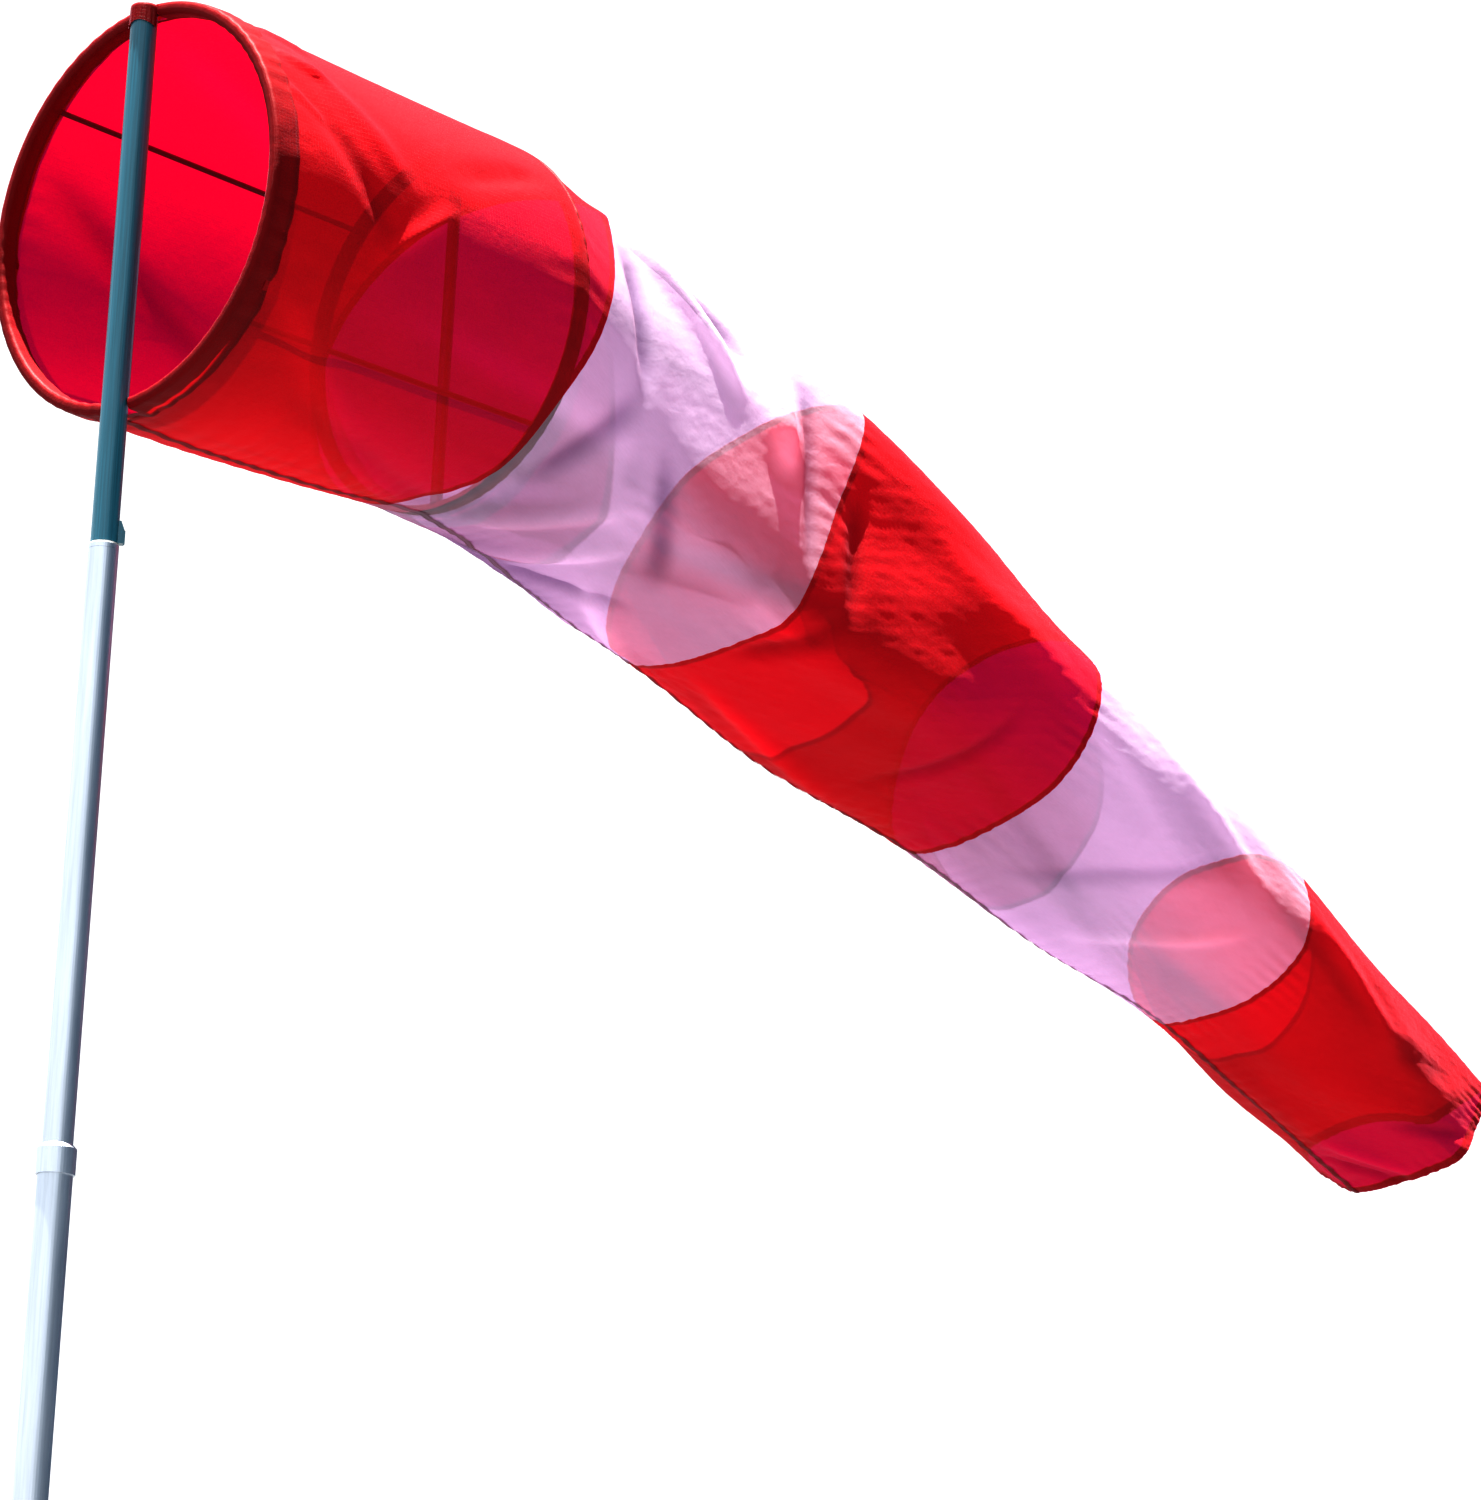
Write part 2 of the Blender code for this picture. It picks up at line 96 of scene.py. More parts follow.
# The slack seams and the tail: how far downwind of the mast, how far above the mouth's centre, the
# tilt, and the outline as (sideways, upward) points from the bottom over the far side.
SLACK_SEAMS = (
    (1.221, -0.183, 27, ((0.100, -0.232), (0.190, -0.145), (0.222, 0.000), (0.182, 0.165),
                         (0.075, 0.240), (-0.030, 0.265), (-0.135, 0.242), (-0.198, 0.180),
                         (-0.220, 0.000), (-0.232, -0.190), (-0.145, -0.235), (-0.010, -0.252))),
    (1.812, -0.381, 23, ((0.062, -0.200), (0.138, -0.125), (0.172, 0.020), (0.148, 0.120),
                         (0.095, 0.170), (0.010, 0.198), (-0.105, 0.185), (-0.208, 0.105),
                         (-0.238, 0.000), (-0.216, -0.100), (-0.145, -0.155), (-0.040, -0.195))),
    (2.397, -0.577, 17, ((0.060, -0.152), (0.140, -0.100), (0.180, 0.005), (0.152, 0.085),
                         (0.105, 0.127), (0.030, 0.144), (-0.060, 0.146), (-0.150, 0.105),
                         (-0.200, 0.030), (-0.202, -0.060), (-0.118, -0.128), (-0.020, -0.152))),
    (2.953, -0.829, 45, ((0.045, -0.138), (0.150, -0.075), (0.235, 0.010), (0.205, 0.062),
                         (0.135, 0.084), (0.065, 0.078), (0.000, 0.062), (-0.045, 0.118),
                         (-0.078, 0.140), (-0.112, 0.040), (-0.132, -0.075), (-0.045, -0.125))),
)
# Where the first red band ends, as (around, along). It runs past the hoop over the top and stops
# short of it underneath.
FIRST_SEAM = ((0.00, 0.88), (0.10, 0.93), (0.25, 1.03), (0.50, 1.21), (0.58, 1.22), (0.70, 1.13),
              (0.77, 1.07), (0.83, 1.01), (0.92, 0.98), (0.96, 0.90), (1.00, 0.88))

# Folds: start and end as (around, along), half width, and height (a furrow is below zero).
# A fold's height also paints shade into the cloth's colour: darker in a furrow, lighter on a ridge.
FOLDS = (
    # Band 1: soft pulls from the mouth towards the hoop.
    ((0.60, 0.08), (0.74, 0.42), 0.022, 0.007),
    ((0.64, 0.05), (0.80, 0.40), 0.020, -0.006),
    ((0.585, 0.06), (0.60, 0.22), 0.010, 0.006),
    ((0.62, 0.06), (0.645, 0.20), 0.008, 0.007),
    ((0.66, 0.06), (0.69, 0.17), 0.008, 0.006),
    ((0.77, 0.36), (0.70, 0.56), 0.012, 0.008),
    ((0.68, 0.60), (0.62, 0.92), 0.020, -0.007),
    ((0.82, 0.10), (0.97, 0.55), 0.030, 0.006),
    ((0.90, 0.30), (0.99, 0.90), 0.024, -0.006),
    ((0.30, 0.10), (0.16, 0.70), 0.030, -0.007),
    ((0.45, 0.15), (0.36, 0.80), 0.030, 0.006),
    ((0.97, 0.10), (0.99, 0.85), 0.130, 0.010),
    # Band 2: slack hangs in long diagonal folds from the hoop's top to the near seam.
    ((0.57, 1.22), (0.66, 1.62), 0.030, 0.022),
    ((0.53, 1.30), (0.61, 1.62), 0.020, -0.014),
    ((0.55, 1.66), (0.69, 1.80), 0.034, 0.026),
    ((0.57, 1.82), (0.76, 1.98), 0.016, -0.010),
    ((0.62, 1.24), (0.78, 1.28), 0.022, -0.016),
    ((0.76, 1.27), (0.93, 1.08), 0.020, -0.012),
    ((0.78, 1.40), (0.88, 1.66), 0.022, -0.012),
    ((0.97, 1.08), (0.82, 1.40), 0.014, 0.009),
    ((1.01, 1.22), (0.84, 1.50), 0.014, 0.010),
    ((0.99, 1.36), (0.90, 1.70), 0.016, -0.011),
    ((0.93, 1.55), (0.99, 1.95), 0.018, 0.010),
    ((0.10, 1.10), (0.22, 1.80), 0.030, -0.012),
    ((0.02, 1.10), (0.04, 1.72), 0.110, -0.013),
    ((0.30, 1.20), (0.26, 1.90), 0.030, 0.010),
    ((0.42, 1.30), (0.36, 1.90), 0.026, -0.009),
    # Band 3.
    ((0.62, 2.05), (0.76, 2.16), 0.020, -0.010),
    ((0.76, 2.14), (0.88, 2.04), 0.020, -0.010),
    ((0.92, 2.66), (0.73, 2.76), 0.014, -0.007),
    ((0.93, 2.10), (0.98, 2.70), 0.018, 0.008),
    ((0.60, 2.30), (0.66, 2.95), 0.030, 0.006),
    ((0.20, 2.10), (0.30, 2.90), 0.028, -0.010),
    ((0.40, 2.10), (0.36, 2.80), 0.026, 0.008),
    # Band 4.
    ((0.92, 3.15), (0.74, 3.60), 0.018, -0.006),
    ((0.94, 3.45), (0.80, 3.80), 0.014, 0.006),
    ((0.60, 3.10), (0.68, 3.80), 0.026, 0.007),
    ((0.25, 3.10), (0.18, 3.90), 0.028, -0.009),
    ((0.42, 3.20), (0.36, 3.90), 0.024, 0.007),
    # Band 5.
    ((0.66, 4.02), (0.72, 4.50), 0.020, 0.007),
    ((0.74, 4.50), (0.70, 4.82), 0.026, -0.005),
    ((0.95, 4.70), (0.90, 4.98), 0.012, 0.008),
    ((0.98, 4.78), (0.93, 4.99), 0.010, -0.007),
    ((0.84, 4.72), (0.78, 4.97), 0.016, -0.007),
    ((0.45, 4.20), (0.52, 4.95), 0.022, -0.009),
    ((0.20, 4.10), (0.26, 4.80), 0.026, -0.008),
)
# How steeply a fold rises from its ends.
FOLD_END_FADE = 2.2
# Puckers at a seam: how many go round, how many there are to a band along the lengthwise seam,
# their height, and how far they reach along and around.
SEAM_PUCKERS = 43
LONG_SEAM_PUCKERS = 17
PUCKER_HEIGHT = 0.0010
PUCKER_REACH = 0.16
LONG_PUCKER_REACH = 0.05
BILLOW_HEIGHT = 0.0030
SAG_DEPTH = 0.012
WRINKLE_HEIGHT = 0.0005
# How far along the mouth's hem holds the cloth, and by what share.
HELD_REACH = 0.05
HELD_SHARE = 0.85
# The rear hoop and the rods hold it within this distance along or around.
HOOP_REACH = 0.03
# In band 1 the deepest furrow, and how far the cloth dishes in between the hoops.
DEEPEST_FURROW = 0.008
DISH_DEPTH = 0.002
# A fold this high gets the lightest painted highlight in the cloth's colour, and a furrow this deep
# the darkest painted shade.
PAINTED_SHADE_DEPTH = 0.014


def closed_curve(points, count):
    """Evenly spaced places along a smooth closed curve through the points."""
    points = np.array(points)
    before, after = np.roll(points, 1, axis=0), np.roll(points, -1, axis=0)
    slope = (after - before) / 2
    steps = 24
    share = np.linspace(0, 1, steps, endpoint=False)[:, None, None]
    fine = hermite(points, after, slope, np.roll(slope, -1, axis=0), share)
    fine = fine.transpose(1, 0, 2).reshape(-1, points.shape[1])
    fine = np.concatenate([fine, fine[:1]])
    run = np.concatenate([[0], np.cumsum(np.linalg.norm(np.diff(fine, axis=0), axis=1))])
    even = np.linspace(0, run[-1], count, endpoint=False)
    return np.stack([np.interp(even, run, axis) for axis in fine.T], axis=1)


def hermite(start, end, start_slope, end_slope, share):
    """Places on the cubic curve from start to end, for shares of the way from 0 to 1."""
    square, cube = share**2, share**3
    return ((2 * cube - 3 * square + 1) * start + (cube - 2 * square + share) * start_slope
            + (3 * square - 2 * cube) * end + (cube - square) * end_slope)


def round_section(centre, radius):
    angle = math.radians(SEAM_ANGLE) + math.tau * AROUND
    flat = np.stack([np.zeros(COLUMNS), np.cos(angle), np.sin(angle)], axis=1)
    return centre + radius * flat


def slack_section(downwind, rise, tilt, outline):
    flat = closed_curve(outline, COLUMNS)
    lean = math.radians(tilt)
    return np.stack([downwind + flat[:, 1] * math.sin(lean), flat[:, 0],
                     LEVEL + rise + flat[:, 1] * math.cos(lean)], axis=1)


def smooth_sock():
    """The sock without folds, as rows of points from the mouth to the tail."""
    mouth = round_section(HOOP_CENTRE, MOUTH_RADIUS - CLOTH_GAP)
    rear = round_section(REAR_CENTRE, REAR_OUTSIDE + 2 * CLOTH_GAP)
    sections = [mouth, rear] + [slack_section(*seam) for seam in SLACK_SEAMS]
    share = np.arange(ROWS)[:, None, None] / ROWS
    rows = [mouth + (rear - mouth) * share]
    last = len(sections) - 1
    for first in range(1, last):
        here, there = sections[first], sections[first + 1]
        slope = there - here if first == 1 else (there - sections[first - 1]) / 2
        end_slope = there - here if first + 1 == last else (sections[first + 2] - here) / 2
        rows.append(hermite(here, there, slope, end_slope, share))
    return np.concatenate(rows + [sections[-1][None]])


def fold_heights(around, along):
    """How far the cloth stands out of its smooth shape at every point."""
    height = np.zeros(np.broadcast(around, along).shape)
    girth = np.interp(along, range(len(CLOTH_GIRTH)), CLOTH_GIRTH)
    for start, end, width, rise in FOLDS:
        fold_across = (end[0] - start[0]) * MEAN_GIRTH
        fold_ahead = (end[1] - start[1]) * BAND_LENGTH
        length = math.hypot(fold_across, fold_ahead)
        for lap in (-1, 0, 1):
            across = (around + lap - start[0]) * girth
            ahead = (along - start[1]) * BAND_LENGTH
            run = (across * fold_across + ahead * fold_ahead) / length**2
            off = (across * fold_ahead - ahead * fold_across) / length
            fade = np.clip(np.minimum(run, 1 - run) * FOLD_END_FADE + 0.35, 0, 1)
            height += rise * np.exp(-(off / width) ** 2) * fade * fade * (3 - 2 * fade)
    return height


def ripple(around, along, turns, seed):
    """A wandering wave round the sock, about -1 to 1."""
    wander = 0.9 * np.sin(math.tau * (3 * around + 0.31 * seed) + 2.1 * along)
    wander += 0.7 * np.sin(math.tau * (7 * around - 0.17 * seed) - 1.3 * along)
    size = 0.55 + 0.45 * np.sin(math.tau * (5 * around + 0.43 * seed) + along)
    return size * np.sin(math.tau * turns * around + wander * 2.5 + seed)


def pucker_heights(around, along):
    """Small gathers that run out from each sewn seam and die away."""
    from_long_seam = np.minimum(around, 1 - around) / LONG_PUCKER_REACH
    wave = np.sin(math.tau * LONG_SEAM_PUCKERS * along + 2 * np.sin(16 * along))
    height = np.exp(-from_long_seam**2) * wave
    for seam in range(len(CLOTH_GIRTH)):
        away = np.abs(along - seam) / PUCKER_REACH
        fade = np.exp(-away**2 * 2.5)
        height = height + fade * (ripple(around, along, SEAM_PUCKERS, seam)
                                  + 0.6 * ripple(around, along, SEAM_PUCKERS // 2, seam + 9))
    return PUCKER_HEIGHT * height


def slack_heights(around, along):
    """Broad uneven billows, larger underneath and away from the hoops."""
    under = 0.5 + 0.5 * np.cos(math.tau * around)
    between = np.sin(math.pi * (along % 1)) ** 2
    slack = np.clip(along - 0.9, 0, 1)
    billow = (np.sin(math.tau * (2 * around + 0.35 * along) + 0.6)
              + 0.8 * np.sin(math.tau * (5 * around - 0.8 * along) + 2.0)
              + 0.5 * np.sin(math.tau * (9 * around + 1.1 * along) + 4.0))
    sag = SAG_DEPTH * between * under * slack
    wrinkle = ripple(20 * around + 5 * along, along, 1, 2) * (0.4 + slack) * WRINKLE_HEIGHT
    return BILLOW_HEIGHT * billow * (0.35 + 0.65 * between) * (0.4 + slack) + sag + wrinkle


def surface_normals(points):
    """The way out of the sock at every point."""
    across = np.roll(points, -1, axis=1) - np.roll(points, 1, axis=1)
    downwind = np.gradient(points, axis=0)
    normal = np.cross(across, downwind)
    return normal / np.linalg.norm(normal, axis=2, keepdims=True)


def folded_sock():
    """The sock's points, and the painted shade its folds put on each one, from 0 (darkest) to 1
    (lightest).
    """
    points = smooth_sock()
    along = (np.arange(len(points)) / ROWS)[:, None]
    around = AROUND[None, :]
    normal = surface_normals(points)
    folds = fold_heights(around, along)
    puckers = pucker_heights(around, along)
    # Painted shade: furrows and puckers darken the cloth's colour and ridges lighten it.
    shade = np.clip(0.5 + (folds + puckers) / PAINTED_SHADE_DEPTH / 2, 0, 1)
    height = folds + puckers + slack_heights(around, along)
    # The cloth is held near the hem and on the rear hoop.
    free_of_hem = 1 - np.exp(-(along / HELD_REACH) ** 2) * HELD_SHARE
    on_hoop = np.exp(-((along - 1) / HOOP_REACH) ** 2)
    height = height * free_of_hem * (1 - 0.9 * on_hoop)
    # No furrow goes in through a rod of the cage, and between the hoops the cloth dishes a little.
    for angle in ROD_ANGLES:
        off = np.abs(around - (angle - SEAM_ANGLE) / 360)
        on_rod = np.exp(-(off / HOOP_REACH) ** 2) * (along < 1)
        height = np.where(height < 0, height * (1 - on_rod), height)
    height = np.where(along < 1, np.maximum(height, -DEEPEST_FURROW), height)
    dish = DISH_DEPTH * np.sin(math.pi * np.clip(along, 0, 1)) * (along < 1)
    return points + normal * (height - dish)[:, :, None], shade


SOCK, PAINTED_FOLD_SHADE = folded_sock()
SOCK_NORMALS = surface_normals(SOCK)


def between_rows(values, along):
    """Values at rows of along places, one column per place round the sock."""
    row = np.clip(along * ROWS, 0, len(SOCK) - 1.001)
    low = row.astype(int)
    share = row - low
    column = np.arange(COLUMNS)[None, :]
    if values.ndim == 3:
        share = share[:, :, None]
    return values[low, column] * (1 - share) + values[low + 1, column] * share


def on_sock(along, lift=0.0):
    """Points on the cloth at rows of along places, lifted off it by a distance."""
    return between_rows(SOCK, along) + lift * between_rows(SOCK_NORMALS, along)


# ---------------------------------------------------------------- meshes

# The places round a closed sheet, with the first one again at the end.
LOOP = np.arange(COLUMNS + 1)[None, :] / COLUMNS
# One width in metres for the weave's map on every band, so the yarns are even along the sock.
WEAVE_GIRTH = 1.5


def link(name, data):
    piece = bpy.data.objects.new(name, data)
    bpy.context.scene.collection.objects.link(piece)
    return piece


def grid_piece(name, points, uv, material, closed=True, keep=None, shade=None):
    """A sheet through rows of points, with its own coordinates in metres as its UV map.

    A closed sheet joins its last column to its first. Keep says which faces are made.
    """
    rows, columns = points.shape[:2]
    index = np.arange(rows * columns).reshape(rows, columns)
    after = np.roll(index, -1, axis=1) if closed else index[:, 1:]
    here = index if closed else index[:, :-1]
    faces = np.stack([here[:-1], after[:-1], after[1:], here[1:]], axis=-1)
    ends = np.stack([uv[:-1, :-1], uv[:-1, 1:], uv[1:, 1:], uv[1:, :-1]], axis=2)
    if keep is not None:
        faces, ends = faces[keep], ends[keep]
    faces, ends = faces.reshape(-1, 4), ends.reshape(-1, 2)
    mesh = bpy.data.meshes.new(name)
    mesh.from_pydata(points.reshape(-1, 3).tolist(), [], faces.tolist())
    layer = mesh.uv_layers.new(name="Cloth")
    layer.data.foreach_set("uv", ends.astype(np.float32).ravel())
    # Shade is the folds' painted shade and highlight, kept on each point for the cloth's colour.
    if shade is None:
        shade = np.full(points.shape[:2], 0.5)
    fold = mesh.attributes.new("painted_fold_shade", "FLOAT", "POINT")
    fold.data.foreach_set("value", shade.astype(np.float32).ravel())
    mesh.shade_smooth()
    mesh.materials.append(material)
    return link(name, mesh)


def cloth_uv(along):
    """Metres round and metres along, with one more column than the points to close the loop."""
    along = np.concatenate([along, along[:, :1]], axis=1)
    across = np.broadcast_to(WEAVE_GIRTH * LOOP, along.shape)
    return np.stack([across, along * BAND_LENGTH], axis=-1)


def strip_uv(rows, middle):
    """The UV map of a narrow strip round the sock, with its distances along from the middle row."""
    offset = (rows - middle) * BAND_LENGTH
    uv = cloth_uv(rows)
    uv[..., 1] = np.concatenate([offset, offset[:, :1]], axis=1)
    return uv


def rows_between(start, end, count):
    share = np.linspace(0, 1, count)[:, None]
    return start + (end - start) * share


def first_seam():
    """The first seam's along places, rounded off where its straight pieces meet."""
    place, along = zip(*FIRST_SEAM)
    blur = 8
    values = np.interp(AROUND, place, along)
    padded = np.concatenate([values[-blur:], values, values[:blur]])
    spread = 2 * blur + 1
    return np.convolve(padded, np.ones(spread) / spread, "valid")


def level(value):
    """A straight edge round the sock at one along place."""
    return np.full(COLUMNS, float(value))


# ---------------------------------------------------------------- materials

# The weave's repeat, the ripstop grid's spacing, and the sewing's stitch and thread widths.
YARN = 0.0011
RIPSTOP = 0.0055
RIPSTOP_SHARE = 0.12
STITCH = 0.0042
THREAD_WIDTH = 0.0014
THREAD = (0.30, 0.02, 0.03)
# Each cloth by reflected light, by light that scatters through, and by what is seen through it.
RED = (0.60, 0.012, 0.022)
RED_GLOW = (0.58, 0.0005, 0.012)
RED_TINT = (0.70, 0.0010, 0.200)
WHITE = (0.68, 0.60, 0.69)
WHITE_GLOW = (0.68, 0.52, 0.68)
WHITE_TINT = (0.80, 0.66, 0.81)
# How clear one layer of each cloth is, and how much light scatters through its yarns.
RED_CLEARNESS, RED_SCATTER = 0.26, 0.25
WHITE_CLEARNESS, WHITE_SCATTER = 0.52, 0.22
# What multiplies the colour in the deepest furrow (painted shade), on the highest ridge (painted
# highlight), and in sewn layers (painted shade, and less light through the thicker cloth).
FURROW_PAINTED_SHADE = (0.42, 0.36, 0.46)
RIDGE_PAINTED_HIGHLIGHT = (1.20, 1.20, 1.20)
LAYERED_THICKNESS_AND_PAINTED_SHADE = (0.42, 0.30, 0.34)


class Nodes:
    """Short ways to build a node material."""

    def __init__(self, name):
        self.material = bpy.data.materials.new(name)
        self.material.use_nodes = True
        self.tree = self.material.node_tree
        self.shader = self.tree.nodes["Principled BSDF"]
        self.output = self.tree.nodes["Material Output"]

    def add(self, kind, inputs=None, **settings):
        node = self.tree.nodes.new(kind)
        for key, value in settings.items():
            setattr(node, key, value)
        for key, value in (inputs or {}).items():
            self.feed(node.inputs[key], value)
        return node

    def feed(self, socket, value):
        if isinstance(value, bpy.types.NodeSocket):
            self.tree.links.new(value, socket)
        else:
            socket.default_value = value

    def ramp(self, value, low, high, start, end):
        """Two colours blended as the value goes from low to high."""
        node = self.add("ShaderNodeMapRange", {"Value": value, "From Min": low, "From Max": high})
        return self.mix(node.outputs["Result"], start, end)

    def mix(self, share, start, end, how="MIX"):
        node = self.add("ShaderNodeMix", data_type="RGBA", blend_type=how)
        self.feed(node.inputs[0], share)
        self.feed(node.inputs[6], start)
        self.feed(node.inputs[7], end)
        return node.outputs[2]

    def blend(self, share, first, second):
        """Two shaders in one, with this share of the second."""
        return self.add("ShaderNodeMixShader", {0: share, 1: first.outputs[0],
                                                2: second.outputs[0]})

    def math(self, how, first, second=0.0):
        return self.add("ShaderNodeMath", {0: first, 1: second}, operation=how).outputs[0]

    def noise(self, place, scale, detail=3.0, rough=0.5):
        return self.add("ShaderNodeTexNoise", {"Vector": place, "Scale": scale, "Detail": detail,
                                               "Roughness": rough}).outputs["Fac"]

    def stretched(self, place, scale):
        return self.add("ShaderNodeMapping", {"Vector": place, "Scale": scale}).outputs[0]

    def bump(self, height, strength, distance):
        return self.add("ShaderNodeBump", {"Height": height, "Strength": strength,
                                           "Distance": distance}).outputs[0]


def rgba(colour, scale=1.0):
    return (*(min(c * scale, 1) for c in colour), 1)


def cloth_material(name, colour, glow, tint, clearness, scatter, stitches, layers):
    """Thin coated nylon: a plain weave with a fine ripstop grid, lit through from behind."""
    look = Nodes(name)
    uv = look.add("ShaderNodeUVMap", uv_map="Cloth").outputs[0]
    place = look.add("ShaderNodeTexCoord").outputs["Object"]
    split = look.add("ShaderNodeSeparateXYZ", {0: uv})
    across, along = split.outputs[0], split.outputs[1]

    blotches = look.noise(place, 7.0, 4.0)
    threads = look.noise(look.stretched(uv, (900, 60, 1)), 1.0, 2.0)
    shade = look.ramp(blotches, 0.3, 0.7, rgba(colour, 0.88), rgba(colour, 1.10))
    streaks = look.ramp(threads, 0.3, 0.7, rgba(colour, 0.6), rgba(colour, 1.3))
    shade = look.mix(0.12, shade, streaks)
    weave = look.math("MULTIPLY", yarn_wave(look, across), yarn_wave(look, along))
    grid = look.math("MAXIMUM", cord_line(look, across), cord_line(look, along))
    shade = look.mix(look.math("MULTIPLY", grid, 0.10), shade, rgba(colour, 0.75))
    creases = look.noise(place, 38.0, 5.0, 0.62)
    height = look.math("ADD", look.math("MULTIPLY", weave, 0.10), look.math("MULTIPLY", grid, 0.5))
    height = look.math("ADD", height, look.math("MULTIPLY", creases, 5.0))
    if stitches:
        thread = stitch_mask(look, across, along, stitches)
        shade = look.mix(look.math("MULTIPLY", thread, 0.7), shade, rgba(THREAD))
        height = look.math("ADD", height, look.math("MULTIPLY", thread, 2.0))
    normal = look.bump(height, 0.55, 0.0006)
    # Painted shade: furrows are darker than ridges, and sewn layers are darker than either, in the
    # reflected colour and in the light through the cloth.
    if layers == 1:
        fold = look.add("ShaderNodeAttribute", attribute_name="painted_fold_shade").outputs["Fac"]
        depth = look.ramp(fold, 0.0, 0.9, (*FURROW_PAINTED_SHADE, 1), (*RIDGE_PAINTED_HIGHLIGHT, 1))
    else:
        # Sewn layers: less light through the thicker cloth, and painted shade on their reflected
        # colour.
        depth = (*LAYERED_THICKNESS_AND_PAINTED_SHADE, 1)
    shade = look.mix(1.0, shade, depth, "MULTIPLY")

    look.feed(look.shader.inputs["Base Color"], shade)
    look.feed(look.shader.inputs["Normal"], normal)
    roughness = look.math("ADD", 0.42, look.math("MULTIPLY", blotches, 0.25))
    look.feed(look.shader.inputs["Roughness"], roughness)
    look.shader.inputs["Specular IOR Level"].default_value = 0.12
    look.shader.inputs["Sheen Weight"].default_value = 0.15
    look.shader.inputs["Sheen Roughness"].default_value = 0.30
    look.shader.inputs["Sheen Tint"].default_value = (1.0, 0.66, 0.84, 1)
    # The painted shade also dims the light that scatters through the cloth and the view through it.
    lit = look.mix(1.0, rgba(glow), depth, "MULTIPLY")
    through = look.add("ShaderNodeBsdfTranslucent", {"Color": lit, "Normal": normal})
    solid = look.blend(scatter, look.shader, through)
    open_weave = look.mix(1.0, rgba(tint), depth, "MULTIPLY")
    clear = look.add("ShaderNodeBsdfTransparent", {"Color": open_weave})
    cloth = look.blend(clearness, solid, clear)
    look.feed(look.output.inputs["Surface"], cloth.outputs[0])
    return look.material


def yarn_wave(look, value):
    """One wave for each yarn."""
    return look.math("SINE", look.math("MULTIPLY", value, math.tau / YARN))


def cord_line(look, value):
    """1 on the thicker yarns of the ripstop grid."""
    phase = look.math("FRACT", look.math("DIVIDE", value, RIPSTOP))
    return look.math("LESS_THAN", phase, RIPSTOP_SHARE)


def stitch_mask(look, across, along, rows):
    """1 on the dashes of the sewing rows, which are given in metres along."""
    dash = look.math("LESS_THAN", look.math("FRACT", look.math("DIVIDE", across, STITCH)), 0.68)
    found = 0.0
    for row in rows:
        off = look.math("ABSOLUTE", look.math("SUBTRACT", along, row))
        found = look.math("MAXIMUM", found, look.math("LESS_THAN", off, THREAD_WIDTH / 2))
    return look.math("MULTIPLY", dash, found)


def red_cloth(name, stitches=(), layers=1):
    """Layers is the number of sheets sewn together, and stitches says where the sewing runs."""
    clear = RED_CLEARNESS / layers**2
    return cloth_material(name, RED, RED_GLOW, RED_TINT, clear, RED_SCATTER, stitches, layers)


def white_cloth(name, stitches=(), layers=1):
    clear = WHITE_CLEARNESS / layers**2
    return cloth_material(name, WHITE, WHITE_GLOW, WHITE_TINT, clear, WHITE_SCATTER, stitches, layers)


# ---------------------------------------------------------------- the sock's pieces

# How wide a seam's folded allowance, the lengthwise seam's strip and the tail's hem are.
SEAM_ALLOWANCE = 0.011
LONG_SEAM = 0.016
TAIL_HEM = 0.020
# Where band 1 starts along the sock, under the mouth's hem.
FRONT_EDGE = 0.045
# How far the mouth's hem reaches back outside and inside, how round its front is, and its cut.
HEM_COLUMNS = 360
HEM_OUTER = 0.043
HEM_INNER = 0.026
HEM_ROUND = 0.006
# The room left in the hem round the swivel tube.
TUBE_SIDE_GAP = 0.002
TUBE_BACK_GAP = 0.001
TUBE_TOP_GAP = 0.0015
# The tab's angles round the tube in degrees, how far it hangs, how far off the tube, and its cut.
TAB_TURN = (75, 285)
TAB_DROP = 0.030
TAB_GAP = 0.0016


def bend(piece):
    """Bakes the piece's placement into its mesh."""
    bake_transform(piece)


def make_band(number, colour, start, end):
    rows = rows_between(start, end, ROWS)
    material = cloth_for(colour)(f"{colour}_band_{number}")
    # The band's points carry the painted shade of its folds.
    piece = grid_piece(f"cloth_band_{number}_{colour}", on_sock(rows), cloth_uv(rows), material,
                       shade=between_rows(PAINTED_FOLD_SHADE, rows))
    bend(piece)
    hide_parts(f"band_{number}_{colour}")
    return piece


def cloth_for(colour):
    return red_cloth if colour == "red" else white_cloth


def make_seam(number, edge):
    """The folded allowances at the end of a band: a narrow strip sewn inside the red cloth."""
    half = SEAM_ALLOWANCE / 2 / BAND_LENGTH
    red_band_ends_here = number % 2
    middle = edge - half if red_band_ends_here else edge + half
    rows = rows_between(middle - half, middle + half, 4)
    material = red_cloth(f"seam_{number}", (-0.0035, 0.0035))
    piece = grid_piece(f"seam_{number}", on_sock(rows, -CLOTH_GAP), strip_uv(rows, middle), material)
    if number == 1:
        bend(piece)
    else:
        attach(piece, f"sock_band_{number}")
    return piece


